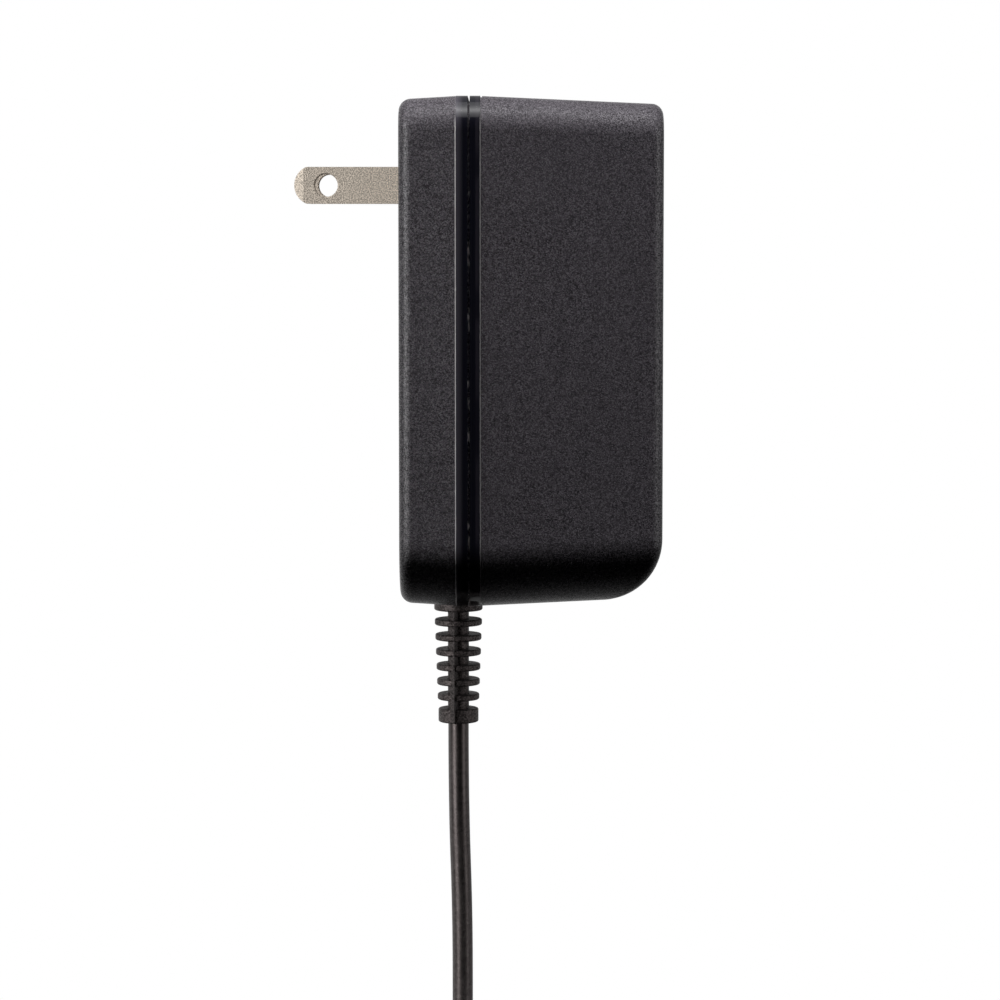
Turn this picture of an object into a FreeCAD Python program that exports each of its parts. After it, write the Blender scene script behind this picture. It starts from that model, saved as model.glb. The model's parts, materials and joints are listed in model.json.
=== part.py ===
import FreeCAD, Part
import math
import os

# Plug-in power adapter: two flat blades, a two-shell housing, a ringed strain relief and a thin output cord.
# Millimetres, upright as it sits in a wall outlet. The origin is on the outlet face, between the blades.
# +X runs from the outlet face to the rear of the housing, +Z is up, the blades point along -X.

V = FreeCAD.Vector
X_AXIS = V(1, 0, 0)
Y_AXIS = V(0, 1, 0)
Z_AXIS = V(0, 0, 1)
QUARTER_TURN = 90.0
HALF_TURN = 180.0

# Housing, outside
case_depth = 44.2          # outlet face to rear face
case_width = 54.0          # side to side, at the parting plane
case_top = 14.7            # highest point above the blades' centre line, at the parting plane
case_bottom = -71.4        # lowest point, at the parting plane
parting_x = 11.7           # plane where the two shells meet
front_draft = math.radians(3.2)
rear_draft = math.radians(2.5)
top_corner_r = 5.5
bottom_corner_r = 11.3     # along both sides of the bottom and at its rear, the heel
front_edge_r = 2.1         # rounding round the outlet face
rear_edge_r = 2.0          # rounding round the rear face

# Housing, weld joint and polished bands
wall = 2.2
parting_gap = 0.35         # open groove seen between the two rims
tongue_inset = 1.25        # from the outer surface to the tongue
tongue_thickness = 0.9
tongue_length = 1.9        # from the front rim to the tongue's end
tongue_clearance = 0.1
front_band = 1.95          # width of the polished band on the front shell
band_proud = 0.06          # how far both bands stand out from the textured walls
rear_band = 1.75           # width of the polished band on the rear shell
score_width = 0.3          # fine groove that ends the rear band
score_depth = 0.2

# Blades
blade_width = 6.3
blade_thickness = 1.5
blade_pitch = 12.7
blade_length = 18.4        # from the outlet face to the tip
blade_tip_r = 3.4
blade_tip_bevel = 0.45     # how far each broad face falls back at the tip
blade_bevel_length = 1.6
blade_hole_r = 1.95
blade_hole_chamfer = 0.18
blade_hole_x = 12.87       # from the outlet face to the hole
blade_root = 5.2           # full width inside the housing ends here
tail_width = 2.6
tail_proud = 1.0           # how far the soldered tail stands past the board
boss_margin = 3.0          # plastic round the blades, inside the housing
boss_corner_r = 2.0
boss_setback = 0.2         # from the boss's end to the wide part of the blades

# Working margins
cut_margin = 1.0           # how far a cut runs past the surface that it opens
pick_margin = 0.01         # how closely an edge lies where it is looked for

# Circuit board
board_x = 8.0              # side that faces the outlet
board_thickness = 1.6
board_side_gap = 3.3       # from the board to the side walls
board_top_gap = 3.0
board_bottom_gap = 9.2
board_corner_r = 2.0
board_slot_clearance = 0.15
post_r = 2.6
post_pin_r = 1.0
post_pin_proud = 0.8
post_margin = 4.2          # post centres, in from the board's edges
post_hole_clearance = 0.1

# Parts on the board: places as (y, z) on its rear side. Each y, and each width that must fit beside others,
# is in steps of a tenth of the board's half width.
lead_wire_r = 0.4
x_cap_height = 11.0        # above the board
x_cap_steps = 6.0          # width, in steps
x_cap_thickness = 5.0
x_cap_round = 0.5
x_cap_place = (0.0, 5.7)
disc_r = 4.5
disc_standoff = 2.0
disc_round_share = 0.25    # of the thickness
varistor_thickness = 3.4
varistor_place = (5.8, -2.0)
thermistor_thickness = 4.0
thermistor_place = (-5.8, -2.0)
safety_cap_r = 3.5
safety_cap_thickness = 2.8
safety_cap_place = (8.75, -38.0)
fuse_r = 4.0
fuse_height = 7.5
fuse_place = (-7.0, -9.5)
choke_steps = 3.0          # core radius, in steps
choke_bore_steps = 1.63
choke_core_height = 6.0
choke_wire = 1.5           # thickness of the winding on the core
choke_arc = 125.0
choke_place = (0.0, -11.5)
bridge_size = (8.0, 9.6, 3.2)
bridge_chamfer = 0.6
bridge_pins = 4
bridge_standoff = 1.5
bridge_place = (6.8, -8.8)
bulk_cap_r = 6.25
bulk_cap_height = 25.0
bulk_cap_place = (5.86, -20.0)
output_cap_steps = 1.86    # radius, in steps
output_cap_height = 15.0
output_cap_places = ((-3.35, -53.2), (0.84, -53.2))
cap_crimp_height = 2.4     # above the can's foot
cap_crimp_depth = 0.35
cap_round = 0.6
chip_size = (3.4, 6.4, 9.4)
chip_pins = 4              # along each side
chip_place = (-4.6, -24.0)
coupler_size = (3.4, 6.4, 4.6)
coupler_pins = 2
coupler_place = (-6.3, -38.0)
pin_width = 0.5
pin_shoulder = 1.2
pin_pitch = 2.54
inductor_r = 2.8
inductor_wire = 1.0
inductor_height = 11.0
inductor_place = (5.4, -53.6)

# Transformer: two E-shaped ferrite halves round a bobbin
core_steps = 11.0          # width, in steps
core_depth = 7.0
core_height = 19.0
core_leg_share = 1 / 7     # outer legs and backs, of the width; the middle leg is twice as wide
core_standoff = 1.0
bobbin_wall = 0.8
bobbin_flange = 1.0
bobbin_gap = 0.1
bobbin_reach = 10.4        # flange, from the middle, along the core's depth
bobbin_rail = 2.0
winding_gap = 0.6          # from the taped winding to the outer legs
tape_thickness = 0.3
transformer_place = (1.5, -37.6)

# Power semiconductors on their heat sinks, beside the insulation card
card_thickness = 0.4
card_inset = 0.5           # from the board's edge
card_height = 25.0
sink_gap = 0.5             # from the card to the sinks
sink_thickness = 1.5
sink_height = 23.5
sink_lip = 6.0
primary_sink_z = (-34.0, -15.0)
output_sink_z = (-56.4, -43.6)
transistor_z = -24.0
diode_z = -50.0
package_width = 10.0
package_height = 9.0
package_thickness = 4.4
package_standoff = 4.4
package_leg = 0.8          # thickness of a leg
tab_height = 15.4
tab_thickness = 1.3
tab_hole_height = 12.6     # above the package's foot
package_hole_r = 1.6
screw_r = 1.45
screw_head_r = 2.7
screw_head_height = 1.9
screw_head_round = 0.5

# Strain relief
relief_x = 9.6
relief_top_r = 4.24        # first ring
relief_end_r = 3.56        # end collar
relief_neck_r = 1.85
relief_first_bottom = -74.0
relief_pitch = 2.63
relief_rings = 6           # free rings between the flange and the collar
relief_ring_height = 1.1
relief_collar_height = 2.43
relief_web_width = 1.0
relief_web_inset = 0.1     # from the rings' edge to the webs' edge
relief_web_turn = 16.0     # degrees, the webs stand a little off the sides
relief_block = 6.0         # square neck in the housing's wall
relief_inner_flange = 9.0
relief_inner_height = 1.8
relief_inner_round = 1.0
relief_round = 0.3
relief_clearance = 0.05

# Output cord
cord_r = 1.8
cord_drop = 14.8           # straight run below the strain relief
cord_lead_in = 20.0        # straight run above the hank
corner_share = 0.45        # of the shorter run, that a rounded corner takes
lead_r = 0.8
lead_spread = 1.5          # from the middle to each inner lead, at the cord
lead_fan = 2.4             # how much further apart they stand at the board
lead_bend = 3.3            # how far they swing to the rear on the way up
lead_edge_gap = 0.15       # from the board's lower edge to the leads
hank_turn_r = 14.0         # middle turn, at the folds
hank_layers = 3            # turns side by side at a fold
hank_rows = 3              # turns one behind the other
hank_straight = 30.0       # between the centres of the two folds
hank_top = -148.0
hank_x = 10.3
tie_height = 6.0
tie_thickness = 0.9
cord_end_length = 10.0

# Output plug
plug_barrel_r = 2.75
plug_bore_r = 1.05
plug_barrel_length = 9.5
plug_barrel_wall = 0.35
plug_contact_wall = 0.35
plug_mouth = 0.6           # plastic in front of the inner contact
plug_rim = 0.2             # how far the plastic ends inside the barrel
plug_grip_r = 5.0
plug_grip_taper = 0.94     # front radius, as a share of the rear one
plug_grip_length = 17.0
plug_shoulder_length = 3.0
plug_neck_r = 2.9
plug_neck_length = 12.0
plug_grooves = 5
plug_groove_pitch = 2.2
plug_groove_width = 0.9
plug_groove_depth = 0.45
plug_groove_start = 3.5    # from the grip's face to the first groove
plug_ribs = 4
plug_rib_pitch = 2.6
plug_rib_gap = 1.1
plug_rib_start = 1.2       # from the shoulder to the first gap
plug_sleeve_wall = 0.5     # plastic round the cord at the neck's end

board_rear = board_x + board_thickness
board_half_width = case_width / 2 - wall - board_side_gap
board_top = case_top - wall - board_top_gap
board_bottom = case_bottom + wall + board_bottom_gap
step = board_half_width / 10
core_width = core_steps * step
core_leg = core_leg_share * core_width
choke_core_r = choke_steps * step
choke_core_bore_r = choke_bore_steps * step
output_cap_r = output_cap_steps * step
winding_build = core_width / 2 - 2 * core_leg - bobbin_gap - bobbin_wall - tape_thickness - winding_gap
card_y = card_inset - board_half_width
sink_y = card_y + sink_gap + sink_thickness   # face that the packages lie against
front_rim = parting_x - parting_gap / 2
rear_rim = parting_x + parting_gap / 2
front_wall_x = front_rim - front_band        # the textured, drafted walls start here
score_x = rear_rim + rear_band
rear_wall_x = score_x + score_width
tongue_end = front_rim + tongue_length
hank_depth = 2 * cord_r * hank_rows
hank_front = cord_r
hank_back = hank_front + hank_depth
hank_outer_r = hank_turn_r + 2 * cord_r * (hank_layers / 2)
hank_bottom = hank_top - hank_straight - 2 * hank_outer_r
hank_centre = (hank_top + hank_bottom) / 2


# Shared helpers

def block(x0, x1, y0, y1, z0, z1):
    return Part.makeBox(x1 - x0, y1 - y0, z1 - z0, V(x0, y0, z0))


def centred(x0, x1, y, z, width, height):
    return block(x0, x1, y - width / 2, y + width / 2, z - height / 2, z + height / 2)


def post(radius, x0, x1, y, z):
    return Part.makeCylinder(radius, x1 - x0, V(x0, y, z), X_AXIS)


def upright(radius, x, y, z0, z1):
    return Part.makeCylinder(radius, z1 - z0, V(x, y, z0), Z_AXIS)


def tapered(radius0, radius1, x, y, z0, z1):
    return Part.makeCone(radius0, radius1, z1 - z0, V(x, y, z0), Z_AXIS)


def joined(first, others):
    return first.multiFuse(others).removeSplitter()


def round_tall_edges(shape, radius, direction):
    edges = [e for e in shape.Edges if e.Curve.TypeId == "Part::GeomLine"]
    along = [e for e in edges if abs(e.tangentAt(e.FirstParameter).dot(direction)) > 1 - pick_margin]
    return shape.makeFillet(radius, along)


def save(name, shape):
    shape.exportStep("parts/" + name + ".step")


# Housing outline

def corner_arc(y, z, radius, side_y, side_z):
    """Quarter round inside the corner at (y, z), from the side wall to the end wall."""
    centre = V(0, y - side_y * radius, z - side_z * radius)
    half = math.sqrt(0.5)
    on_side = centre + V(0, side_y * radius, 0)
    middle = centre + V(0, side_y * radius * half, side_z * radius * half)
    on_end = centre + V(0, 0, side_z * radius)
    return on_side, middle, on_end


def rim_face(inset):
    """The housing's outline at the parting plane, moved inwards by inset, in the plane x = 0."""
    side = case_width / 2 - inset
    top = case_top - inset
    low = case_bottom + inset
    upper_r = top_corner_r - inset
    lower_r = bottom_corner_r - inset
    right_top = corner_arc(side, top, upper_r, 1, 1)
    left_top = corner_arc(-side, top, upper_r, -1, 1)
    left_low = corner_arc(-side, low, lower_r, -1, -1)
    right_low = corner_arc(side, low, lower_r, 1, -1)
    edges = [
        Part.Arc(*right_top),
        Part.LineSegment(right_top[2], left_top[2]),
        Part.Arc(left_top[2], left_top[1], left_top[0]),
        Part.LineSegment(left_top[0], left_low[0]),
        Part.Arc(*left_low),
        Part.LineSegment(left_low[2], right_low[2]),
        Part.Arc(right_low[2], right_low[1], right_low[0]),
        Part.LineSegment(right_low[0], right_top[0]),
    ]
    return Part.Face(Part.Wire([e.toShape() for e in edges]))


def rim_prism(x0, x1, inset):
    face = rim_face(inset)
    face.translate(V(x0, 0, 0))
    return face.extrude(V(x1 - x0, 0, 0))


def drafted_block(start, end, draft, inset):
    """A shell's walls, up to its end face: full size at start, narrower at the end, long edges rounded."""
    length = abs(end - start)
    taper = length * math.tan(draft)
    side = case_width / 2 - inset
    top = case_top - inset
    low = case_bottom + inset
    solid = Part.makeWedge(-side, 0, low, low + taper, taper - side,
                           side, length, top, top - taper, side - taper)
    solid.rotate(V(0, 0, 0), Z_AXIS, -QUARTER_TURN if end > start else QUARTER_TURN)
    solid.translate(V(start, 0, 0))
    along = [e for e in solid.Edges if abs(e.tangentAt(e.FirstParameter).dot(X_AXIS)) > math.sqrt(0.5)]
    upper = [e for e in along if e.CenterOfMass.z > 0]
    lower = [e for e in along if e.CenterOfMass.z < 0]
    solid = solid.makeFillet(top_corner_r - inset, upper)
    places = [e.CenterOfMass for e in lower]
    lower = [e for e in solid.Edges if any(e.CenterOfMass.isEqual(place, pick_margin) for place in places)]
    return solid.makeFillet(bottom_corner_r - inset, lower)


def heel_waste(inset):
    """What the large rounding at the rear of the bottom takes off."""
    radius = bottom_corner_r - inset
    rear = case_depth - inset
    centre_x = rear - radius
    lift = (centre_x - rear_wall_x) * math.tan(rear_draft) + radius / math.cos(rear_draft)
    centre = V(centre_x, 0, case_bottom + inset + lift)
    down = V(math.sin(rear_draft), 0, -math.cos(rear_draft))
    foot = centre + down * radius
    side = centre + X_AXIS * radius
    middle = centre + (down + X_AXIS).normalize() * radius
    beyond = side + X_AXIS * bottom_corner_r
    below = foot + down * bottom_corner_r
    edges = [
        Part.Arc(foot, middle, side),
        Part.LineSegment(side, beyond),
        Part.LineSegment(beyond, V(beyond.x, 0, below.z)),
        Part.LineSegment(V(beyond.x, 0, below.z), below),
        Part.LineSegment(below, foot),
    ]
    waste = Part.Face(Part.Wire([e.toShape() for e in edges])).extrude(V(0, 2 * case_width, 0))
    waste.translate(V(0, -case_width, 0))
    return waste


def end_edges(solid, end):
    """Edges of the end face that stand at a real angle to the walls."""
    near = [e for e in solid.Edges if abs(e.CenterOfMass.x - end) < pick_margin]
    return [e for e in near if e.BoundBox.XLength < pick_margin and e.CenterOfMass.z > case_bottom / 2]


def front_outer():
    solid = drafted_block(front_wall_x, 0, front_draft, 0)
    solid = solid.makeFillet(front_edge_r, end_edges(solid, 0))
    return joined(solid, [rim_prism(front_wall_x, front_rim, -band_proud)])


def rear_outer():
    solid = drafted_block(rear_wall_x, case_depth, rear_draft, 0).cut(heel_waste(0))
    solid = solid.makeFillet(rear_edge_r, end_edges(solid, case_depth))
    score = rim_prism(score_x, rear_wall_x, score_depth)
    return joined(solid, [score, rim_prism(rear_rim, score_x, -band_proud)])


def front_cavity():
    walls = drafted_block(front_wall_x, wall, front_draft, wall)
    return joined(walls, [rim_prism(front_wall_x, front_rim, wall - band_proud)])


def rear_cavity():
    walls = drafted_block(rear_wall_x, case_depth - wall, rear_draft, wall).cut(heel_waste(wall))
    return joined(walls, [rim_prism(rear_rim, rear_wall_x, wall - band_proud)])


def blade_ys():
    return [-blade_pitch / 2, blade_pitch / 2]


def post_places():
    top = board_top - post_margin
    low = board_bottom + post_margin
    side = board_half_width - post_margin
    return [(y, z) for y in (-side, side) for z in (top, low)]


def relief_notch(x0, x1):
    half = relief_block / 2 + relief_clearance
    return block(x0, x1, -half, half, case_bottom - cut_margin, case_bottom + 2 * wall)


def front_shell():
    shell = front_outer().cut(front_cavity())
    tongue = rim_prism(front_rim, tongue_end, tongue_inset)
    tongue = tongue.cut(rim_prism(front_rim, tongue_end, tongue_inset + tongue_thickness))
    boss_half = blade_pitch / 2 + blade_thickness / 2 + boss_margin
    boss = centred(wall / 2, blade_root - boss_setback, 0, 0, 2 * boss_half, blade_width + 2 * boss_margin)
    boss = round_tall_edges(boss, boss_corner_r, X_AXIS)
    posts = [post(post_r, wall / 2, board_x, y, z) for y, z in post_places()]
    pins = [post(post_pin_r, board_x, board_rear + post_pin_proud, y, z) for y, z in post_places()]
    shell = joined(shell, [tongue, boss] + posts + pins)
    slots = [centred(-cut_margin, blade_root, y, 0, blade_thickness, blade_width) for y in blade_ys()]
    notch = relief_notch(relief_x - relief_block / 2 - relief_clearance, tongue_end + cut_margin)
    return shell.cut(Part.makeCompound(slots + [notch]))


def rear_shell():
    shell = rear_outer().cut(rear_cavity())
    rebate = rim_prism(rear_rim, tongue_end, tongue_inset - tongue_clearance)
    notch = relief_notch(rear_rim - cut_margin, relief_x + relief_block / 2 + relief_clearance)
    return shell.cut(rebate).cut(notch)


# Circuit board

def circuit_board():
    board = block(board_x, board_rear, -board_half_width, board_half_width, board_bottom, board_top)
    board = round_tall_edges(board, board_corner_r, X_AXIS)
    holes = [post(post_pin_r + post_hole_clearance, board_x, board_rear, y, z) for y, z in post_places()]
    slots = [
        centred(board_x, board_rear, y, 0, blade_thickness + 2 * board_slot_clearance,
                tail_width + 2 * board_slot_clearance)
        for y in blade_ys()
    ]
    return board.cut(Part.makeCompound(holes + slots))


def insulation_card():
    return block(board_rear, board_rear + card_height, card_y - card_thickness, card_y,
                 board_bottom + board_corner_r, board_top - board_corner_r)


def on_rear_side(place):
    """A place on the board's rear side, with y in millimetres."""
    y_steps, z = place
    return y_steps * step, z


def on_board(size, place, standoff=0.0):
    """A box that stands over the board's rear side."""
    height, width, thickness = size
    y, z = on_rear_side(place)
    return centred(board_rear + standoff, board_rear + standoff + height, y, z, width, thickness)


def lead_wires(places, top):
    return [post(lead_wire_r, board_rear, top, y, z) for y, z in places]


def x_capacitor():
    body = on_board((x_cap_height, x_cap_steps * step, x_cap_thickness), x_cap_place)
    return round_tall_edges(body, x_cap_round, X_AXIS)


def disc_part(radius, thickness, place, axis):
    """A coated disc on two leads, its flat sides facing along axis."""
    y, z = on_rear_side(place)
    middle = V(board_rear + disc_standoff + radius, y, z)
    disc = Part.makeCylinder(radius, thickness, middle - axis * (thickness / 2), axis)
    rims = [e for e in disc.Edges if e.Curve.TypeId == "Part::GeomCircle"]
    disc = disc.makeFillet(disc_round_share * thickness, rims)
    across = V(0, 1, 0) if axis == Z_AXIS else V(0, 0, 1)
    feet = [middle + across * (side * pin_pitch) for side in (-1, 1)]
    return joined(disc, lead_wires([(f.y, f.z) for f in feet], middle.x))


def fuse():
    y, z = on_rear_side(fuse_place)
    can = post(fuse_r, board_rear, board_rear + fuse_height, y, z)
    top_edge = [e for e in can.Edges if e.CenterOfMass.x > board_rear + fuse_height - pick_margin]
    return can.makeFillet(cap_round, top_edge)


def electrolytic(radius, height, place):
    """A can with a crimped groove near its foot and a rounded top edge."""
    y, z = on_rear_side(place)
    can = post(radius, board_rear, board_rear + height, y, z)
    top_edge = [e for e in can.Edges if e.CenterOfMass.x > board_rear + height - pick_margin]
    can = can.makeFillet(cap_round, top_edge)
    crimp = Part.makeTorus(radius + cap_crimp_depth, 2 * cap_crimp_depth,
                           V(board_rear + cap_crimp_height, y, z), X_AXIS)
    return can.cut(crimp)


def choke_core():
    y, z = on_rear_side(choke_place)
    low = board_rear + choke_wire
    ring = post(choke_core_r, low, low + choke_core_height, y, z)
    return ring.cut(post(choke_core_bore_r, low, low + choke_core_height, y, z))


def choke_coils():
    """Two windings, each wrapped round its own side of the ring."""
    y, z = on_rear_side(choke_place)
    inner = choke_core_bore_r - choke_wire
    outer = choke_core_r + choke_wire
    top = board_rear + choke_core_height + 2 * choke_wire
    coils = []
    for side in (0, 1):
        face = Part.Face(Part.makePolygon([
            V(board_rear, inner, 0), V(board_rear, outer, 0), V(top, outer, 0), V(top, inner, 0),
            V(board_rear, inner, 0)]))
        coil = face.revolve(V(0, 0, 0), X_AXIS, choke_arc)
        coil.rotate(V(0, 0, 0), X_AXIS, side * HALF_TURN - choke_arc / 2)
        coil.translate(V(0, y, z))
        coils.append(coil.cut(choke_core()))
    return Part.makeCompound(coils)


def bridge_rectifier():
    body = on_board(bridge_size, bridge_place, bridge_standoff)
    top = board_rear + bridge_size[0]
    body = body.makeChamfer(bridge_chamfer, [e for e in body.Edges if e.CenterOfMass.x > top])
    y, z = on_rear_side(bridge_place)
    feet = [(y + (i - (bridge_pins - 1) / 2) * pin_pitch, z) for i in range(bridge_pins)]
    return joined(body, lead_wires(feet, board_rear + bridge_standoff))


def dual_in_line(size, place, pins):
    """A moulded package whose legs stand on the board along both long sides."""
    height, width, length = size
    y, z = on_rear_side(place)
    body = on_board((height - pin_width, width, length), place, pin_width)
    leg_top = board_rear + height / 2 + pin_width
    legs = []
    for i in range(pins):
        leg_z = z + (i - (pins - 1) / 2) * pin_pitch
        for side in (-1, 1):
            leg_y = y + side * (width / 2 + pin_width / 2)
            legs.append(centred(board_rear, leg_top, leg_y, leg_z, pin_width, pin_shoulder))
    return joined(body, legs)


def output_inductor():
    y, z = on_rear_side(inductor_place)
    return post(inductor_r, board_rear, board_rear + inductor_height, y, z)


def inductor_winding():
    y, z = on_rear_side(inductor_place)
    margin = inductor_wire
    low = board_rear + margin
    high = board_rear + inductor_height - margin
    coil = post(inductor_r + inductor_wire, low, high, y, z)
    return coil.cut(post(inductor_r, low, high, y, z))


# Transformer

def core_half(upper):
    """One E: a back with three legs."""
    y, z = on_rear_side(transformer_place)
    bottom = board_rear + core_standoff
    middle = bottom + core_height / 2
    back_x = bottom + core_height - core_leg if upper else bottom
    legs_x = (middle, back_x) if upper else (back_x + core_leg, middle)
    back = centred(back_x, back_x + core_leg, y, z, core_width, core_depth)
    side = core_width / 2 - core_leg / 2
    legs = [centred(*legs_x, y + offset, z, width, core_depth)
            for offset, width in ((-side, core_leg), (0, 2 * core_leg), (side, core_leg))]
    return joined(back, legs)


def window():
    """Height range of the core's two openings."""
    bottom = board_rear + core_standoff + core_leg
    return bottom, bottom + core_height - 2 * core_leg


def bobbin():
    y, z = on_rear_side(transformer_place)
    low, high = window()
    hole_y = 2 * core_leg + 2 * bobbin_gap
    hole_z = core_depth + 2 * bobbin_gap
    flange_y = core_width - 2 * core_leg - 2 * bobbin_gap
    body = centred(low, high, y, z, hole_y + 2 * bobbin_wall, hole_z + 2 * bobbin_wall)
    flanges = [centred(x, x + bobbin_flange, y, z, flange_y, 2 * bobbin_reach)
               for x in (low, high - bobbin_flange)]
    rail_z = bobbin_reach - bobbin_rail / 2
    rails = [centred(board_rear, low, y, z + side * rail_z, flange_y, bobbin_rail) for side in (-1, 1)]
    return joined(body, flanges + rails).cut(centred(low, high, y, z, hole_y, hole_z))


def wound_layer(inner, build, end_gap):
    """A rounded sleeve round the bobbin's tube, from inner to inner + build outside it."""
    y, z = on_rear_side(transformer_place)
    low, high = window()
    tube_y = 2 * (core_leg + bobbin_gap + bobbin_wall)
    tube_z = core_depth + 2 * (bobbin_gap + bobbin_wall)
    x0 = low + bobbin_flange + end_gap
    x1 = high - bobbin_flange - end_gap
    outside = centred(x0, x1, y, z, tube_y + 2 * (inner + build), tube_z + 2 * (inner + build))
    outside = round_tall_edges(outside, inner + build, X_AXIS)
    inside = centred(x0, x1, y, z, tube_y + 2 * inner, tube_z + 2 * inner)
    if inner > 0:
        inside = round_tall_edges(inside, inner, X_AXIS)
    return outside.cut(inside)


# Heat sinks

def heat_sink(z_range, hole_z):
    """A plate that stands on the board, with a lip folded over at its far end."""
    z0, z1 = z_range
    top = board_rear + sink_height
    back = sink_y - sink_thickness
    plate = block(board_rear, top, back, sink_y, z0, z1)
    lip = block(top - sink_thickness, top, back, back + sink_lip, z0, z1)
    sink = joined(plate, [lip])
    corner = V(top, back, (z0 + z1) / 2)
    fold = [e for e in sink.Edges if e.CenterOfMass.isEqual(corner, pick_margin)]
    sink = sink.makeFillet(sink_thickness, fold)
    return sink.cut(screw_bore(screw_r, hole_z))


def screw_bore(radius, z):
    height = board_rear + package_standoff + tab_hole_height
    reach = sink_thickness + tab_thickness + cut_margin
    return Part.makeCylinder(radius, reach, V(height, sink_y - sink_thickness, z), Y_AXIS)


def power_package(z):
    """A three-legged package that lies flat against its heat sink."""
    foot = board_rear + package_standoff
    low = z - package_width / 2
    high = z + package_width / 2
    tab = block(foot, foot + tab_height, sink_y, sink_y + tab_thickness, low, high)
    body = block(foot, foot + package_height, sink_y, sink_y + package_thickness, low, high)
    leg_y = sink_y + package_thickness / 2
    legs = [centred(board_rear, foot, leg_y, z + i * pin_pitch, pin_width, package_leg) for i in (-1, 0, 1)]
    return joined(tab, [body] + legs).cut(screw_bore(package_hole_r, z))


def sink_screws():
    """One screw for each package, through its tab and into the plate."""
    height = board_rear + package_standoff + tab_hole_height
    head_y = sink_y + tab_thickness
    screws = []
    for z in (transistor_z, diode_z):
        head = Part.makeCylinder(screw_head_r, screw_head_height, V(height, head_y, z), Y_AXIS)
        rim = [e for e in head.Edges if e.CenterOfMass.y > head_y + screw_head_height - pick_margin]
        head = head.makeFillet(screw_head_round, rim)
        reach = sink_thickness + tab_thickness
        shank = Part.makeCylinder(screw_r, reach, V(height, head_y - reach, z), Y_AXIS)
        screws.append(joined(head, [shank]))
    return Part.makeCompound(screws)


# Blades

def blade(y):
    half = blade_width / 2
    lead = blade_tip_r - math.sqrt(blade_tip_r ** 2 - half ** 2)
    tip = V(-blade_length, 0, 0)
    low = V(-blade_length + lead, 0, -half)
    high = V(-blade_length + lead, 0, half)
    path = [
        Part.Arc(low, tip, high).toShape(),
        Part.LineSegment(high, V(blade_root, 0, half)).toShape(),
        Part.LineSegment(V(blade_root, 0, half), V(blade_root, 0, tail_width / 2)).toShape(),
        Part.LineSegment(V(blade_root, 0, tail_width / 2), V(tail_end(), 0, tail_width / 2)).toShape(),
        Part.LineSegment(V(tail_end(), 0, tail_width / 2), V(tail_end(), 0, -tail_width / 2)).toShape(),
        Part.LineSegment(V(tail_end(), 0, -tail_width / 2), V(blade_root, 0, -tail_width / 2)).toShape(),
        Part.LineSegment(V(blade_root, 0, -tail_width / 2), V(blade_root, 0, -half)).toShape(),
        Part.LineSegment(V(blade_root, 0, -half), low).toShape(),
    ]
    face = Part.Face(Part.Wire(path))
    solid = face.extrude(V(0, blade_thickness, 0))
    solid.translate(V(0, -blade_thickness / 2, 0))
    solid = solid.cut(tip_bevels()).cut(blade_hole())
    solid.translate(V(0, y, 0))
    return solid


def tail_end():
    return board_rear + tail_proud


def tip_bevels():
    """The two wedges that thin the blade at its tip."""
    start = -blade_length + blade_bevel_length
    outside = -blade_length - cut_margin
    slope = blade_tip_bevel / blade_bevel_length
    wedges = []
    for side in (-1, 1):
        face_y = side * blade_thickness / 2
        at_outside = face_y - side * slope * (start - outside)
        corners = [V(start, face_y, 0), V(outside, at_outside, 0), V(outside, face_y + side, 0),
                   V(start, face_y + side, 0), V(start, face_y, 0)]
        wedge = Part.Face(Part.makePolygon(corners)).extrude(V(0, 0, 2 * blade_width))
        wedge.translate(V(0, 0, -blade_width))
        wedges.append(wedge)
    return Part.makeCompound(wedges)


def blade_hole():
    reach = blade_thickness / 2
    wide = blade_hole_r + blade_hole_chamfer
    start = V(-blade_hole_x, -reach, 0)
    hole = Part.makeCylinder(blade_hole_r, blade_thickness, start, Y_AXIS)
    near = Part.makeCone(wide, blade_hole_r, blade_hole_chamfer, start, Y_AXIS)
    far = Part.makeCone(wide, blade_hole_r, blade_hole_chamfer, V(-blade_hole_x, reach, 0), V(0, -1, 0))
    return joined(hole, [near, far])


# Strain relief

def relief_radius(z):
    """Outer radius of a ring at height z: it narrows evenly towards the cord."""
    span = relief_rings * relief_pitch + relief_pitch
    share = (relief_first_bottom - z) / span
    return relief_top_r + (relief_end_r - relief_top_r) * share


def relief_end():
    last = relief_first_bottom - relief_rings * relief_pitch
    return last - (relief_pitch - relief_ring_height) - relief_collar_height


def relief_disc(bottom, height):
    disc = upright(relief_radius(bottom), relief_x, 0, bottom, bottom + height)
    return disc.makeFillet(relief_round, [e for e in disc.Edges if e.Curve.TypeId == "Part::GeomCircle"])


def relief_webs(under):
    """Two thin ribs that tie the rings together, one on each side."""
    length = under - relief_end() - relief_round
    low_reach = relief_end_r - relief_web_inset
    high_reach = relief_top_r - relief_web_inset
    webs = []
    for turn in (-QUARTER_TURN - relief_web_turn, QUARTER_TURN - relief_web_turn):
        web = Part.makeWedge(
            0, -relief_web_width / 2, 0, 0, 0,
            low_reach, relief_web_width / 2, length, length, high_reach,
        )
        web.rotate(V(0, 0, 0), Z_AXIS, turn)
        web.translate(V(relief_x, 0, under - length))
        webs.append(web)
    return webs


def relief_inner_low():
    """Where the flange inside the housing starts, just above the wall at its higher, front edge."""
    front_edge = relief_x - relief_inner_flange / 2
    return case_bottom + (front_wall_x - front_edge) * math.tan(front_draft) + wall + relief_clearance


def relief_inner_top():
    return relief_inner_low() + relief_inner_height


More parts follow.
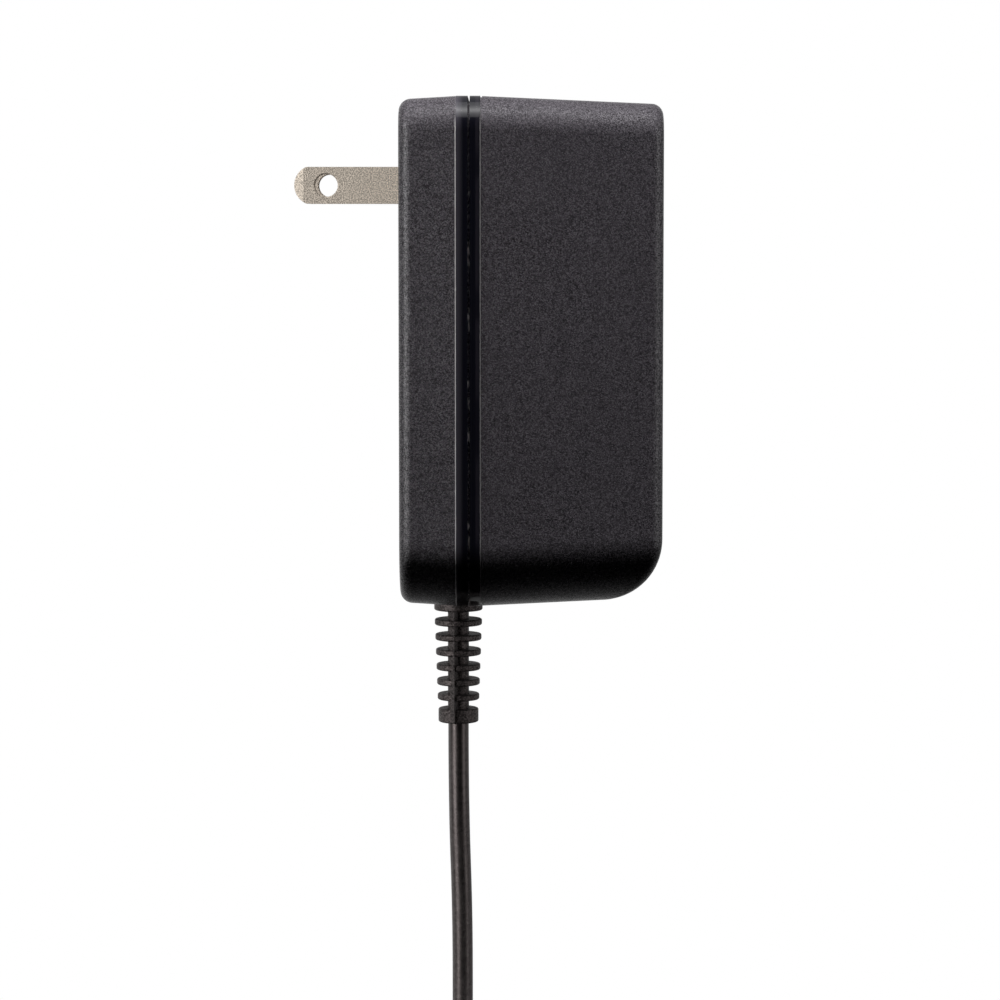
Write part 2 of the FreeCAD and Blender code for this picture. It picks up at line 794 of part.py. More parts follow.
def strain_relief():
    under = relief_first_bottom + relief_ring_height
    flange_top = case_bottom - band_proud - relief_clearance
    inner_low = relief_inner_low()
    core = upright(relief_neck_r, relief_x, 0, relief_end(), under)
    flange = relief_disc(relief_first_bottom, flange_top - relief_first_bottom)
    rings = [
        relief_disc(relief_first_bottom - relief_pitch * (i + 1), relief_ring_height)
        for i in range(relief_rings)
    ]
    collar = relief_disc(relief_end(), relief_collar_height)
    half = relief_block / 2
    neck = block(relief_x - half, relief_x + half, -half, half, flange_top - relief_round, inner_low)
    wide = relief_inner_flange / 2
    inner = block(relief_x - wide, relief_x + wide, -wide, wide, inner_low, relief_inner_top())
    inner = round_tall_edges(inner, relief_inner_round, Z_AXIS)
    return joined(core, [flange, neck, inner, collar] + rings + relief_webs(under))


# Cord

def rounded_path(points):
    """Straight runs joined by tangent arcs, each as large as its two runs allow."""
    edges = []
    last = points[0]
    for before, corner, after in zip(points, points[1:], points[2:]):
        into = (corner - before).normalize()
        away = (after - corner).normalize()
        run = min(before.distanceToPoint(corner), corner.distanceToPoint(after))
        back = corner_share * run
        half_turn = into.getAngle(away) / 2
        start = corner - into * back
        end = corner + away * back
        towards = (away - into).normalize()
        radius = back / math.tan(half_turn)
        middle = corner + towards * (radius / math.cos(half_turn) - radius)
        edges.append(Part.LineSegment(last, start).toShape())
        edges.append(Part.Arc(start, middle, end).toShape())
        last = end
    edges.append(Part.LineSegment(last, points[-1]).toShape())
    return Part.Wire(edges)


def tube(points, radius):
    path = rounded_path(points)
    circle = Part.Wire(Part.Circle(points[0], points[1] - points[0], radius).toShape())
    return path.makePipeShell([circle], True, False)


def cord_points():
    return [
        V(relief_x, 0, relief_end()),
        V(relief_x, 0, relief_end() - cord_drop),
        V(hank_x, 0, hank_top + cord_lead_in),
        V(hank_x, 0, hank_top),
    ]


def stadium(half_width, straight, x, y0, y1):
    """Flat plate with round ends, standing upright."""
    low = hank_centre - straight / 2
    plate = block(x - half_width, x + half_width, y0, y1, low, low + straight)
    ends = [
        Part.makeCylinder(half_width, y1 - y0, V(x, y0, hank_centre + side * straight / 2), Y_AXIS)
        for side in (-1, 1)
    ]
    return joined(plate, ends)


def cord_hank():
    """The put-away length as one outer shape: the turns, the strand that comes in and the one that leaves."""
    turns = stadium(hank_outer_r, hank_straight, hank_x, hank_front, hank_back)
    incoming = block(hank_x - cord_r, hank_x + cord_r, -cord_r, hank_front,
                     hank_bottom + hank_outer_r, hank_top)
    leaving = block(hank_x - cord_r, hank_x + cord_r, hank_back, hank_back + 2 * cord_r, hank_bottom,
                    hank_top - hank_outer_r)
    return joined(turns, [incoming, leaving])


def tie_outline(margin):
    wide = hank_outer_r + margin
    narrow = cord_r + margin / 2
    front = -cord_r - margin
    back = hank_back + 2 * cord_r + margin
    corners = [
        (narrow, front), (wide, hank_front - margin / 2), (wide, hank_back + margin / 2), (narrow, back),
        (-narrow, back), (-wide, hank_back + margin / 2), (-wide, hank_front - margin / 2), (-narrow, front),
    ]
    return [V(hank_x + x, y, hank_centre - tie_height / 2) for x, y in corners]


def cord_tie():
    outer, inner = [
        Part.Face(Part.makePolygon(points + points[:1])).extrude(V(0, 0, tie_height))
        for points in (tie_outline(tie_thickness), tie_outline(0))
    ]
    return outer.cut(inner)


def inner_lead(side):
    """One insulated wire, from the moulded end of the cord up to the board's lower edge."""
    start = relief_inner_top()
    end = board_bottom + lead_edge_gap + lead_r
    rise = end - start
    near = side * lead_spread
    wide = near + side * lead_fan / 2
    points = [
        V(relief_x, near, start),
        V(relief_x, near, start + rise / 3),
        V(relief_x + lead_bend, wide, start + 2 * rise / 3),
        V(relief_x + lead_bend, wide, end),
        V(board_rear, wide, end),
    ]
    return tube(points, lead_r)


# Plug

def plug_top():
    return hank_bottom - cord_end_length


def plug_y():
    return hank_back + cord_r


def plug_shoulder():
    return plug_top() - plug_neck_length


def plug_face():
    return plug_shoulder() - plug_shoulder_length - plug_grip_length


def plug_tip():
    return plug_face() - plug_barrel_length


def plug_grip():
    x, y = hank_x, plug_y()
    grip_top = plug_shoulder() - plug_shoulder_length
    grip = tapered(plug_grip_taper * plug_grip_r, plug_grip_r, x, y, plug_face(), grip_top)
    shoulder = tapered(plug_grip_r, plug_neck_r, x, y, grip_top, plug_shoulder())
    neck = tapered(plug_neck_r, cord_r + plug_sleeve_wall, x, y, plug_shoulder(), plug_top())
    body = joined(grip, [shoulder, neck])
    cuts = []
    for i in range(plug_grooves):
        low = plug_face() + plug_groove_start + i * plug_groove_pitch
        ring = upright(plug_grip_r + cut_margin, x, y, low, low + plug_groove_width)
        cuts.append(ring.cut(upright(plug_grip_r - plug_groove_depth, x, y, low, low + plug_groove_width)))
    for i in range(plug_ribs):
        low = plug_shoulder() + plug_rib_start + i * plug_rib_pitch
        for side in (-1, 1):
            gap_y = y + side * (cord_r + plug_neck_r / 2)
            gap_z = low + plug_rib_gap / 2
            cuts.append(centred(x - plug_neck_r, x + plug_neck_r, gap_y, gap_z, plug_neck_r, plug_rib_gap))
    return body.cut(Part.makeCompound(cuts))


def plug_barrel():
    outer = upright(plug_barrel_r, hank_x, plug_y(), plug_tip(), plug_face())
    return outer.cut(upright(plug_barrel_r - plug_barrel_wall, hank_x, plug_y(), plug_tip(), plug_face()))


def plug_insulator():
    body = upright(plug_barrel_r - plug_barrel_wall, hank_x, plug_y(), plug_tip() + plug_rim, plug_face())
    pocket = upright(plug_bore_r + plug_contact_wall, hank_x, plug_y(), plug_tip() + plug_mouth, plug_face())
    mouth = upright(plug_bore_r, hank_x, plug_y(), plug_tip(), plug_face())
    return body.cut(joined(pocket, [mouth]))


def plug_socket():
    outer = upright(plug_bore_r + plug_contact_wall, hank_x, plug_y(), plug_tip() + plug_mouth, plug_face())
    return outer.cut(upright(plug_bore_r, hank_x, plug_y(), plug_tip(), plug_face()))


os.makedirs("parts", exist_ok=True)
save("front_shell", front_shell())
save("rear_shell", rear_shell())
save("near_blade", blade(blade_ys()[0]))
save("far_blade", blade(blade_ys()[1]))
save("circuit_board", circuit_board())
save("insulation_card", insulation_card())
save("fuse", fuse())
save("varistor", disc_part(disc_r, varistor_thickness, varistor_place, Z_AXIS))
save("thermistor", disc_part(disc_r, thermistor_thickness, thermistor_place, Z_AXIS))
save("x_capacitor", x_capacitor())
save("choke_core", choke_core())
save("choke_coils", choke_coils())
save("bridge_rectifier", bridge_rectifier())
save("bulk_capacitor", electrolytic(bulk_cap_r, bulk_cap_height, bulk_cap_place))
save("control_chip", dual_in_line(chip_size, chip_place, chip_pins))
save("optocoupler", dual_in_line(coupler_size, coupler_place, coupler_pins))
save("safety_capacitor", disc_part(safety_cap_r, safety_cap_thickness, safety_cap_place, Y_AXIS))
save("transformer_core_lower", core_half(False))
save("transformer_core_upper", core_half(True))
save("transformer_bobbin", bobbin())
save("transformer_winding", wound_layer(0, winding_build, 0))
save("transformer_tape", wound_layer(winding_build, tape_thickness, 0))
save("primary_heat_sink", heat_sink(primary_sink_z, transistor_z))
save("output_heat_sink", heat_sink(output_sink_z, diode_z))
save("switching_transistor", power_package(transistor_z))
save("output_diode", power_package(diode_z))
save("heat_sink_screws", sink_screws())
for index, place in enumerate(output_cap_places):
    save("output_capacitor_" + str(index + 1), electrolytic(output_cap_r, output_cap_height, place))
save("inductor_core", output_inductor())
save("inductor_winding", inductor_winding())
save("strain_relief", strain_relief())
save("output_cord", tube(cord_points(), cord_r))
save("cord_hank", cord_hank())
save("cord_tie", cord_tie())
save("cord_end", upright(cord_r, hank_x, plug_y(), plug_top(), hank_bottom))
save("plug_grip", plug_grip())
save("plug_barrel", plug_barrel())
save("plug_insulator", plug_insulator())
save("plug_socket", plug_socket())
save("red_lead", inner_lead(-1))
save("black_lead", inner_lead(1))
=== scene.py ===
import json
import math

import bpy
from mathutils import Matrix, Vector


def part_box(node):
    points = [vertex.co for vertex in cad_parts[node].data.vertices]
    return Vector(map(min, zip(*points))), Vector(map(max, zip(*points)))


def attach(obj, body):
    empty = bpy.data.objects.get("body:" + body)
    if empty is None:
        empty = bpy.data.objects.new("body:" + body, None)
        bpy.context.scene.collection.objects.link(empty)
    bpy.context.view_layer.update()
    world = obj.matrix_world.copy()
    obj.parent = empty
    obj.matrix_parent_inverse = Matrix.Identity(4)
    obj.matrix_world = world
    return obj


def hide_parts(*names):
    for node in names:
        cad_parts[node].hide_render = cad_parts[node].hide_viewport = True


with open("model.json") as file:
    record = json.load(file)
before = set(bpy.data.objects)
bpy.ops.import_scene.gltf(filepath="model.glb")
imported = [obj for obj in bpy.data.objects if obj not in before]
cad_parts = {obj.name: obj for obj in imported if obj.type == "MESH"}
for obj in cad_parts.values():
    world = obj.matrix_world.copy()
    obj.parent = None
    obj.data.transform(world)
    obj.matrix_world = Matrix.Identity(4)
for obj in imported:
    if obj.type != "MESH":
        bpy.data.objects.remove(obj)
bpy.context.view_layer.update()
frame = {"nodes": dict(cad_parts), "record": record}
MM = 0.001

# The photograph's view: the eye is level with the blades and looks along +Y, a little downwards
EYE = Vector((0.01776, -0.587, -0.0049))
FOCAL_PIXELS = 3370.0
IMAGE_PIXELS = 1000.0
EYE_PIXEL = (505.0, 214.0)         # where the level line of sight meets the photograph
SENSOR_MM = 36.0

# The two polished bands and the lines beside them, measured along X from the outlet face, in millimetres
FRONT_BAND = (9.575, 11.525)
REAR_BAND = (11.875, 13.625)
EDGE_LINE = 0.14                   # width of the painted edge highlight in front of a band
EDGE_FADE = (9.5, 11.5)            # height where the painted edge highlights fade out below the top rounding
FRONT_GLOW = (9.75, 10.8)          # the front band's lighter edge fades out between these
REAR_SHEEN = (12.85, 13.4)         # faint lighter stretches of the rear band

# Texture cells in a metre
HOUSING_GRAIN = 6200
RUBBER_GRAIN = 4000

# Output cord, the same route as in the source
CORD_RADIUS = 1.8 * MM
HANK_X = 10.3 * MM
HANK_TOP = -148 * MM
HANK_STRAIGHT = 30 * MM
HANK_RADII = (10.4 * MM, 14 * MM, 17.6 * MM)
HANK_ROWS = (3.6 * MM, 7.2 * MM, 10.8 * MM)
PLUG_Y = 14.4 * MM
PLUG_TOP = -226.8 * MM
FOLD_STEPS = 6


# Node helpers

def new_material(name, color, roughness, metallic=0.0):
    material = bpy.data.materials.new(name)
    material.use_nodes = True
    surface = material.node_tree.nodes["Principled BSDF"]
    surface.inputs["Base Color"].default_value = (*color, 1)
    surface.inputs["Roughness"].default_value = roughness
    surface.inputs["Metallic"].default_value = metallic
    return material, material.node_tree, surface


def link(tree, source, target):
    tree.links.new(source, target)


def object_point(tree):
    return tree.nodes.new("ShaderNodeTexCoord").outputs["Object"]


def noise(tree, scale, detail=2.0, stretch=None):
    """Noise in the object's own metres: scale is the number of features in a metre."""
    texture = tree.nodes.new("ShaderNodeTexNoise")
    texture.inputs["Scale"].default_value = scale
    texture.inputs["Detail"].default_value = detail
    point = object_point(tree)
    if stretch:
        mapping = tree.nodes.new("ShaderNodeMapping")
        mapping.inputs["Scale"].default_value = stretch
        link(tree, point, mapping.inputs["Vector"])
        point = mapping.outputs["Vector"]
    link(tree, point, texture.inputs["Vector"])
    return texture.outputs["Fac"]


def specks(tree, scale):
    """Small cells, each with its own value from 0 to 1."""
    texture = tree.nodes.new("ShaderNodeTexVoronoi")
    texture.inputs["Scale"].default_value = scale
    link(tree, object_point(tree), texture.inputs["Vector"])
    split = tree.nodes.new("ShaderNodeSeparateColor")
    link(tree, texture.outputs["Color"], split.inputs["Color"])
    return split.outputs["Red"]


def remap(tree, value, low, high, new_low, new_high):
    node = tree.nodes.new("ShaderNodeMapRange")
    for socket, number in zip(node.inputs[1:5], (low, high, new_low, new_high)):
        socket.default_value = number
    link(tree, value, node.inputs["Value"])
    return node.outputs["Result"]


def blend_colors(tree, factor, first, second):
    node = tree.nodes.new("ShaderNodeMix")
    node.data_type = "RGBA"
    link(tree, factor, node.inputs["Factor"])
    for socket, color in ((node.inputs["A"], first), (node.inputs["B"], second)):
        if isinstance(color, tuple):
            socket.default_value = (*color, 1)
        else:
            link(tree, color, socket)
    return node.outputs["Result"]


def math_node(tree, operation, first, second):
    node = tree.nodes.new("ShaderNodeMath")
    node.operation = operation
    for socket, value in zip(node.inputs, (first, second)):
        if isinstance(value, (int, float)):
            socket.default_value = value
        else:
            link(tree, value, socket)
    return node.outputs["Value"]


def bump(tree, surface, height, distance, strength=1.0):
    node = tree.nodes.new("ShaderNodeBump")
    node.inputs["Distance"].default_value = distance
    if isinstance(strength, (int, float)):
        node.inputs["Strength"].default_value = strength
    else:
        link(tree, strength, node.inputs["Strength"])
    link(tree, height, node.inputs["Height"])
    link(tree, node.outputs["Normal"], surface.inputs["Normal"])


def along(tree, axis):
    split = tree.nodes.new("ShaderNodeSeparateXYZ")
    link(tree, object_point(tree), split.inputs["Vector"])
    return split.outputs[axis]


def stripe(tree, x, low, high):
    """1 where x lies between low and high millimetres, 0 elsewhere."""
    above = math_node(tree, "GREATER_THAN", x, low * MM)
    below = math_node(tree, "LESS_THAN", x, high * MM)
    return math_node(tree, "MULTIPLY", above, below)


# Materials

def painted_edge_highlights(tree, x):
    """Painted highlight: the bright line in front of the bands and the fainter one behind them, below the top
    rounding.
    """
    front = stripe(tree, x, FRONT_BAND[0] - EDGE_LINE, FRONT_BAND[0] + EDGE_LINE / 2)
    rear = stripe(tree, x, REAR_BAND[1] - EDGE_LINE / 2, REAR_BAND[1] + EDGE_LINE)
    both = math_node(tree, "ADD", front, math_node(tree, "MULTIPLY", rear, 0.33))
    below_top = remap(tree, along(tree, "Z"), EDGE_FADE[0] * MM, EDGE_FADE[1] * MM, 1, 0.04)
    return math_node(tree, "MULTIPLY", both, below_top)


def band_glow(tree, x, front_band):
    """The lighter edge of the front band, which fades out towards the joint."""
    fade = remap(tree, x, FRONT_GLOW[0] * MM, FRONT_GLOW[1] * MM, 1, 0)
    return math_node(tree, "MULTIPLY", fade, front_band)


def band_sheen(tree, x):
    """Faint lighter stretches along the rear band."""
    stretches = remap(tree, noise(tree, 60, 1, (0.01, 0.01, 1)), 0.45, 0.5, 0.25, 1)
    return math_node(tree, "MULTIPLY", stripe(tree, x, *REAR_SHEEN), stretches)


def weld_flecks(tree, x):
    """Light flecks of flash in the groove between the bands."""
    flecks = remap(tree, noise(tree, 900, 3, (1, 1, 0.4)), 0.56, 0.66, 0, 1)
    return math_node(tree, "MULTIPLY", stripe(tree, x, FRONT_BAND[1], REAR_BAND[0]), flecks)


def housing_color(tree, x, grain, front_band, bands):
    patches = remap(tree, noise(tree, 45, 2), 0.3, 0.7, 0, 0.35)
    color = blend_colors(tree, grain, (0.015, 0.0133, 0.0156), (0.168, 0.154, 0.174))
    color = blend_colors(tree, patches, color, (0.09, 0.082, 0.094))
    color = blend_colors(tree, bands, color, (0.007, 0.007, 0.012))
    # painted highlight: near-white lines along the edges of the bands
    color = blend_colors(tree, painted_edge_highlights(tree, x), color, (0.95, 0.92, 0.92))
    color = blend_colors(tree, band_glow(tree, x, front_band), color, (0.068, 0.063, 0.078))
    color = blend_colors(tree, band_sheen(tree, x), color, (0.024, 0.022, 0.03))
    return blend_colors(tree, weld_flecks(tree, x), color, (0.6, 0.57, 0.56))


def housing_plastic():
    """Dark moulded plastic with a fine spark texture, smooth and glossy on the two bands by the joint."""
    material, tree, surface = new_material("housing_plastic", (0.09, 0.082, 0.094), 0.25)
    x = along(tree, "X")
    grain = specks(tree, HOUSING_GRAIN)
    front_band = stripe(tree, x, *FRONT_BAND)
    bands = math_node(tree, "ADD", front_band, stripe(tree, x, *REAR_BAND))
    textured = math_node(tree, "SUBTRACT", 1.0, bands)
    link(tree, housing_color(tree, x, grain, front_band, bands), surface.inputs["Base Color"])
    grain_rough = math_node(tree, "MULTIPLY", remap(tree, grain, 0, 1, 0.2, 0.3), textured)
    band_marks = noise(tree, 220, 2, (1, 1, 0.25))
    band_rough = math_node(tree, "MULTIPLY", remap(tree, band_marks, 0.3, 0.7, 0.06, 0.16), bands)
    link(tree, math_node(tree, "ADD", grain_rough, band_rough), surface.inputs["Roughness"])
    sparkle = math_node(tree, "MULTIPLY", remap(tree, grain, 0, 1, 0.05, 0.65), textured)
    link(tree, math_node(tree, "ADD", sparkle, bands), surface.inputs["Specular IOR Level"])
    bump(tree, surface, noise(tree, 5600, 2), 0.07 * MM, textured)
    return material


def blade_nickel():
    """Nickel-plated blade: satin, finely speckled, with faint rolling marks along its length."""
    material, tree, surface = new_material("blade_nickel", (0.62, 0.58, 0.52), 0.38, 1.0)
    grain = noise(tree, 5200, 3)
    clouds = noise(tree, 160, 3)
    marks = noise(tree, 2400, 2, (0.06, 1, 1))
    color = blend_colors(tree, remap(tree, grain, 0.4, 0.6, 0, 1), (0.36, 0.324, 0.28), (0.9, 0.823, 0.728))
    color = blend_colors(tree, remap(tree, clouds, 0.35, 0.75, 0, 0.4), color, (0.66, 0.59, 0.51))
    link(tree, color, surface.inputs["Base Color"])
    link(tree, remap(tree, grain, 0.3, 0.7, 0.68, 0.8), surface.inputs["Roughness"])
    height = math_node(tree, "ADD", math_node(tree, "MULTIPLY", grain, 0.6), math_node(tree, "MULTIPLY", marks, 0.4))
    bump(tree, surface, height, 0.02 * MM, 0.4)
    return material


def textured_rubber(name, dark, light, rough, grain_scale, depth, gloss=(0.5, 0.5)):
    """Soft black moulding with a matte grain and uneven sheen."""
    material, tree, surface = new_material(name, dark, rough[1])
    surface.inputs["Specular Tint"].default_value = (1, 0.86, 0.84, 1)
    grain = specks(tree, grain_scale)
    patches = noise(tree, grain_scale / 12, 2)
    link(tree, remap(tree, grain, 0, 1, *gloss), surface.inputs["Specular IOR Level"])
    tone = math_node(tree, "MULTIPLY", grain, remap(tree, patches, 0.3, 0.7, 0.5, 1))
    link(tree, blend_colors(tree, tone, dark, light), surface.inputs["Base Color"])
    link(tree, remap(tree, patches, 0.3, 0.7, *rough), surface.inputs["Roughness"])
    bump(tree, surface, noise(tree, grain_scale, 3), depth, 0.8)
    return material


def smooth_plastic(name, color, roughness):
    """Moulded component plastic: small tone changes and a faint orange-peel surface."""
    material, tree, surface = new_material(name, color, roughness)
    clouds = noise(tree, 300, 3)
    deeper = tuple(0.75 * channel for channel in color)
    link(tree, blend_colors(tree, clouds, deeper, color), surface.inputs["Base Color"])
    link(tree, remap(tree, clouds, 0.3, 0.7, 0.85 * roughness, 1.15 * roughness), surface.inputs["Roughness"])
    bump(tree, surface, noise(tree, 1500, 2), 0.02 * MM, 0.3)
    return material


def brushed_metal(name, color, roughness, stretch):
    """Metal with fine marks along one direction."""
    material, tree, surface = new_material(name, color, roughness, 1.0)
    marks = noise(tree, 1800, 3, stretch)
    deeper = tuple(0.8 * channel for channel in color)
    link(tree, blend_colors(tree, marks, deeper, color), surface.inputs["Base Color"])
    link(tree, remap(tree, marks, 0.3, 0.7, 0.8 * roughness, 1.3 * roughness), surface.inputs["Roughness"])
    bump(tree, surface, marks, 0.01 * MM, 0.4)
    return material


def wound_wire(name, color, turns, axis):
    """Enamelled wire: fine rings across the winding's axis, with painted shade in the grooves between turns."""
    material, tree, surface = new_material(name, color, 0.3, 0.7)
    rings = tree.nodes.new("ShaderNodeTexWave")
    rings.bands_direction = axis
    rings.inputs["Scale"].default_value = turns
    rings.inputs["Distortion"].default_value = 0.4
    link(tree, object_point(tree), rings.inputs["Vector"])
    # painted shade: each ring darkens to about a third of the wire's colour between turns
    dark = tuple(0.35 * channel for channel in color)
    link(tree, blend_colors(tree, rings.outputs["Fac"], dark, color), surface.inputs["Base Color"])
    bump(tree, surface, rings.outputs["Fac"], 0.15 * MM, 0.8)
    return material


def board_laminate():
    """Paper laminate with a cloudy grain."""
    material, tree, surface = new_material("board_laminate", (0.45, 0.32, 0.14), 0.5)
    clouds = noise(tree, 500, 4, (1, 1, 0.3))
    link(tree, blend_colors(tree, clouds, (0.33, 0.22, 0.09), (0.5, 0.37, 0.18)), surface.inputs["Base Color"])
    bump(tree, surface, clouds, 0.02 * MM, 0.4)
    return material


def slot_materials():
    """One material for each slot of the record."""
    rubber = textured_rubber("relief_rubber", (0.008, 0.0071, 0.0071), (0.24, 0.212, 0.208), rough=(0.42, 0.6),
                             grain_scale=RUBBER_GRAIN, depth=0.12 * MM, gloss=(0.35, 1.0))
    jacket = textured_rubber("cord_jacket", (0.05, 0.045, 0.045), (0.13, 0.117, 0.117), rough=(0.34, 0.44),
                             grain_scale=1600, depth=0.02 * MM, gloss=(0.75, 0.9))
    strap = textured_rubber("tie_strap", (0.018, 0.018, 0.018), (0.04, 0.04, 0.04), rough=(0.5, 0.6),
                            grain_scale=2000, depth=0.06 * MM)
    ferrite = textured_rubber("ferrite", (0.05, 0.05, 0.054), (0.09, 0.09, 0.095), rough=(0.55, 0.7),
                              grain_scale=2500, depth=0.03 * MM)
    return {
        "housing": housing_plastic(),
        "blade_metal": blade_nickel(),
        "relief_plastic": rubber,
        "cord_jacket": jacket,
        "tie_plastic": strap,
        "contact_metal": brushed_metal("contact_nickel", (0.72, 0.7, 0.66), 0.22, (1, 1, 8)),
        "insulator_plastic": smooth_plastic("insulator_plastic", (0.03, 0.03, 0.03), 0.35),
        "board_laminate": board_laminate(),
        "card_film": smooth_plastic("card_film", (0.8, 0.78, 0.7), 0.5),
        "can_sleeve": smooth_plastic("can_sleeve", (0.04, 0.05, 0.12), 0.3),
        "component_black": smooth_plastic("component_black", (0.03, 0.03, 0.03), 0.55),
        "component_yellow": smooth_plastic("component_yellow", (0.75, 0.6, 0.1), 0.35),
        "disc_blue": smooth_plastic("disc_blue", (0.05, 0.2, 0.5), 0.3),
        "disc_green": smooth_plastic("disc_green", (0.1, 0.3, 0.15), 0.3),
        "red_insulation": smooth_plastic("red_insulation", (0.5, 0.03, 0.03), 0.35),
        "tape_film": smooth_plastic("tape_film", (0.75, 0.6, 0.15), 0.3),
        "ferrite": ferrite,
        "copper_wire": wound_wire("copper_wire", (0.6, 0.28, 0.1), 900, "X"),
        "screw_steel": brushed_metal("screw_steel", (0.6, 0.6, 0.6), 0.35, (1, 6, 1)),
        "sink_metal": brushed_metal("sink_metal", (0.75, 0.75, 0.77), 0.35, (6, 1, 1)),
    }


def dress_nodes(materials):
    """Every CAD node takes its slot's material."""
    for part in frame["record"]["subparts"]:
        for slot in frame["nodes"][part["node"]].material_slots:
            slot.material = materials[part["material_slot"]]


# Cord

def fold_points(radius, next_radius, row, next_row, side):
    """One fold of the hank: side is -1 for the lower fold, left to right, and 1 for the upper one, right to left."""
    centre = HANK_TOP - HANK_RADII[-1] - CORD_RADIUS - HANK_STRAIGHT / 2 + side * HANK_STRAIGHT / 2
    points = []
    for step in range(FOLD_STEPS + 1):
        share = step / FOLD_STEPS
        reach = radius + (next_radius - radius) * share
        depth = row + (next_row - row) * share
        turn = math.pi * share
        points.append(Vector((HANK_X + side * reach * math.cos(turn), depth, centre + side * reach * math.sin(turn))))
    return points


def hank_turns():
    """The turns in winding order: outwards in one row, inwards in the next."""
    turns = []
    for number, row in enumerate(HANK_ROWS):
        radii = HANK_RADII if number % 2 == 0 else HANK_RADII[::-1]
        turns += [(radius, row) for radius in radii]
    return turns


def cord_route():
    points = [
        Vector((9.6, 0, -93.74)) * MM, Vector((9.6, 0, -108.54)) * MM,
        Vector((10.3, 0, -128)) * MM, Vector((10.3, 0, -148)) * MM,
        Vector((10.3, 0, -160)) * MM, Vector((9.4, 0.2, -171)) * MM,
        Vector((3.6, 1.5, -182)) * MM, Vector((-0.1, 3.2, -191)) * MM,
    ]
    turns = hank_turns()
    for (radius, row), (next_radius, next_row) in zip(turns, turns[1:] + turns[-1:]):
        points += fold_points(radius, radius, row, row, -1)
        points += fold_points(radius, next_radius, row, next_row, 1)
    points += [
        Vector((-7.2, 11.1, -181)) * MM, Vector((-6.8, 13.0, -189)) * MM,
        Vector((-2.2, 14.4, -198)) * MM, Vector((7.0, 14.4, -206)) * MM,
        Vector((10.3, 14.4, -213)) * MM, Vector((10.3, 14.4, -220)) * MM,
        Vector((HANK_X, PLUG_Y, PLUG_TOP)),
    ]
    return points


def output_cord(material):
    curve = bpy.data.curves.new("output_cord_line", "CURVE")
    curve.dimensions = "3D"
    curve.bevel_depth = CORD_RADIUS
    curve.bevel_resolution = 6
    curve.resolution_u = 6
    spline = curve.splines.new("NURBS")
    points = cord_route()
    spline.points.add(len(points) - 1)
    for target, point in zip(spline.points, points):
        target.co = (*point, 1)
    spline.order_u = 3
    spline.use_endpoint_u = True
    cord = bpy.data.objects.new("output_cord_line", curve)
    bpy.context.scene.collection.objects.link(cord)
    curve.materials.append(material)
    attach(cord, "root")
    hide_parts("output_cord", "cord_hank", "cord_end")
    return cord


# Studio

def place_camera():
    camera = bpy.data.objects.new("camera", bpy.data.cameras.new("camera"))
    camera.data.sensor_width = SENSOR_MM
    camera.data.lens = FOCAL_PIXELS / IMAGE_PIXELS * SENSOR_MM
    camera.data.clip_start = 0.01
    camera.data.clip_end = 20
    camera.location = EYE
    half = IMAGE_PIXELS / 2
    aim = Vector((half - EYE_PIXEL[0], FOCAL_PIXELS, EYE_PIXEL[1] - half))
    camera.rotation_mode = "QUATERNION"
    camera.rotation_quaternion = aim.to_track_quat("-Z", "Y")
    bpy.context.scene.collection.objects.link(camera)
    bpy.context.scene.camera = camera


def softbox(name, place, target, width, height, radiance):
    """A rectangular light whose face has the given brightness, where the white background has 1."""
    data = bpy.data.lights.new(name, "AREA")
    data.shape = "RECTANGLE"
    data.size = width
    data.size_y = height
    data.energy = math.pi * width * height * radiance
    light = bpy.data.objects.new(name, data)
    light.location = place
    light.rotation_mode = "QUATERNION"
    light.rotation_quaternion = (Vector(target) - Vector(place)).to_track_quat("-Z", "Y")
    bpy.context.scene.collection.objects.link(light)
    return light


def hot_spot(light, peak, centre, reach):
    """Light that falls off from a bright middle, as through a cloth with a lamp behind it."""
    light.data.use_nodes = True
    tree = light.data.node_tree
    emission = tree.nodes["Emission"]
    place = tree.nodes.new("ShaderNodeNewGeometry").outputs["Position"]
    offset = tree.nodes.new("ShaderNodeVectorMath")
    offset.operation = "SUBTRACT"
    link(tree, place, offset.inputs[0])
    offset.inputs[1].default_value = centre
    shares = tree.nodes.new("ShaderNodeVectorMath")
    shares.operation = "DIVIDE"
    link(tree, offset.outputs["Vector"], shares.inputs[0])
    shares.inputs[1].default_value = reach
    squared = tree.nodes.new("ShaderNodeVectorMath")
    squared.operation = "DOT_PRODUCT"
    link(tree, shares.outputs["Vector"], squared.inputs[0])
    link(tree, shares.outputs["Vector"], squared.inputs[1])
    falloff = math_node(tree, "DIVIDE", peak - 1.0, math_node(tree, "ADD", squared.outputs["Value"], 1.0))
    link(tree, math_node(tree, "ADD", falloff, 1.0), emission.inputs["Strength"])


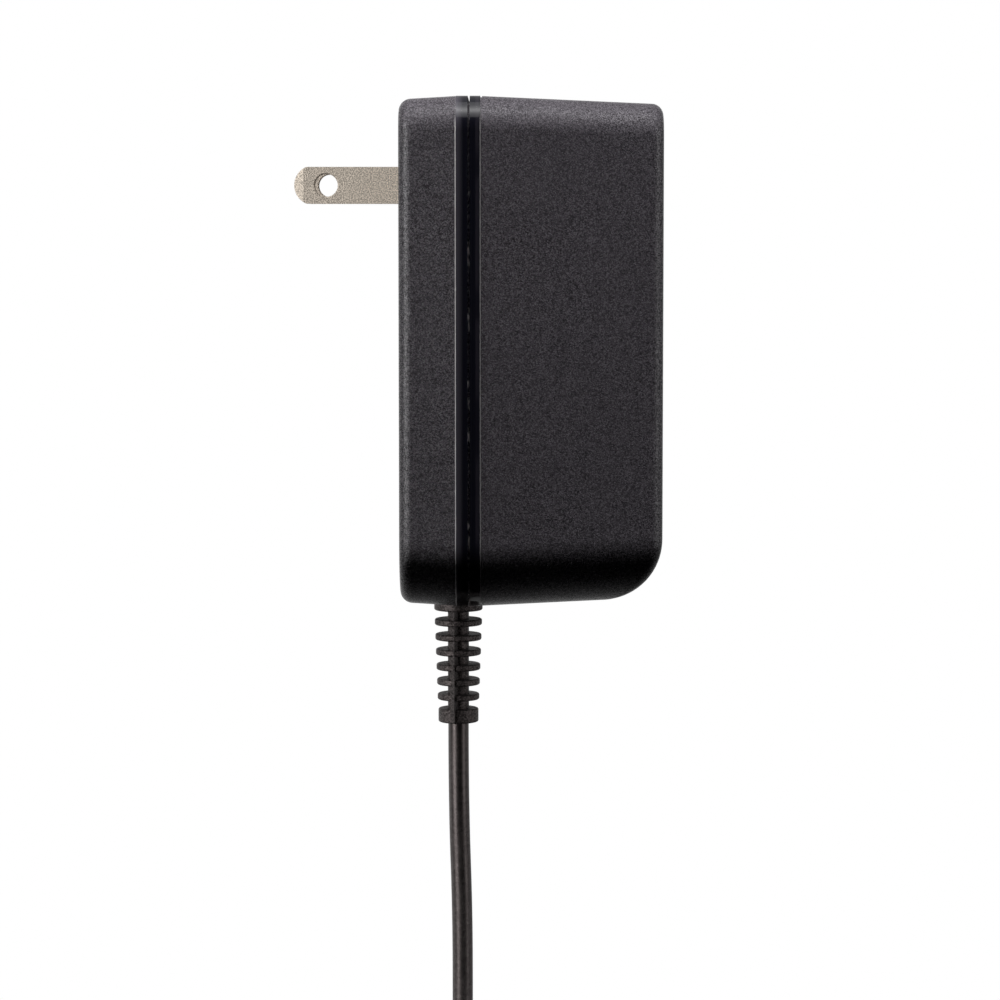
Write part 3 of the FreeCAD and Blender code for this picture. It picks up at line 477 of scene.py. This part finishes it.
def surroundings():
    """White behind the object, weaker to the right, above and below; dark towards the camera."""
    world = bpy.data.worlds.new("studio")
    bpy.context.scene.world = world
    world.use_nodes = True
    tree = world.node_tree
    background = tree.nodes["Background"]
    split = tree.nodes.new("ShaderNodeSeparateXYZ")
    link(tree, tree.nodes.new("ShaderNodeTexCoord").outputs["Generated"], split.inputs["Vector"])
    aside = math_node(tree, "MULTIPLY", math_node(tree, "ABSOLUTE", split.outputs["X"], 0), 0.25)
    backwards = math_node(tree, "ADD", split.outputs["Y"], aside)
    tent = remap(tree, backwards, 0.2, 0.28, 0.0, 0.75)
    weaker = remap(tree, split.outputs["X"], 0.0, 0.7, 1.0, 0.55)
    table = remap(tree, split.outputs["Z"], -0.8, -0.1, 0.27, 1.0)
    sky = remap(tree, split.outputs["Z"], 0.1, 0.5, 1.0, 0.3)
    for share in (weaker, table, sky):
        tent = math_node(tree, "MULTIPLY", tent, share)
    seen = tree.nodes.new("ShaderNodeLightPath").outputs["Is Camera Ray"]
    level = math_node(tree, "MAXIMUM", tent, seen)
    background.inputs["Color"].default_value = (1, 1, 1, 1)
    link(tree, level, background.inputs["Strength"])


def pale_floor():
    """A plain disc under the plug, below the photograph's edge."""
    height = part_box("plug_barrel")[0].z - 0.2 * MM
    bpy.ops.mesh.primitive_circle_add(vertices=96, radius=0.45, fill_type="NGON", location=(HANK_X, 0, height))
    floor = bpy.context.object
    floor.name = "studio_floor"
    material, tree, surface = new_material("pale_floor", (0.8, 0.8, 0.79), 0.7)
    bump(tree, surface, noise(tree, 300, 3), 0.05 * MM, 0.2)
    floor.data.materials.append(material)
    floor.visible_glossy = False
    floor.visible_diffuse = False


def studio():
    bpy.context.scene.view_settings.view_transform = "Standard"
    surroundings()
    top = softbox("top_softbox", (0.02, -0.267, 0.56), (0.02, -0.267, 0), 1.2, 0.786, 0.35)
    hot_spot(top, 6.8, (0.02, -0.245, 0.56), (0.4, 0.13, 1))
    left = softbox("left_softbox", (-0.6, -0.53, 0.1), (0.01, 0, 0.1), 0.4, 0.8, 6.4)
    right = softbox("right_softbox", (0.72, -0.37, 0.1), (0.01, 0, 0.1), 0.4, 0.8, 2.0)
    for glossy_light in (top, left, right):
        glossy_light.visible_diffuse = False
    overhead = softbox("overhead_light", (-0.03, -0.15, 0.43), (0, -0.027, 0), 0.5, 0.1, 22.5)
    overhead.visible_glossy = False
    pale_floor()


place_camera()
slot_material = slot_materials()
dress_nodes(slot_material)
output_cord(slot_material["cord_jacket"])
studio()
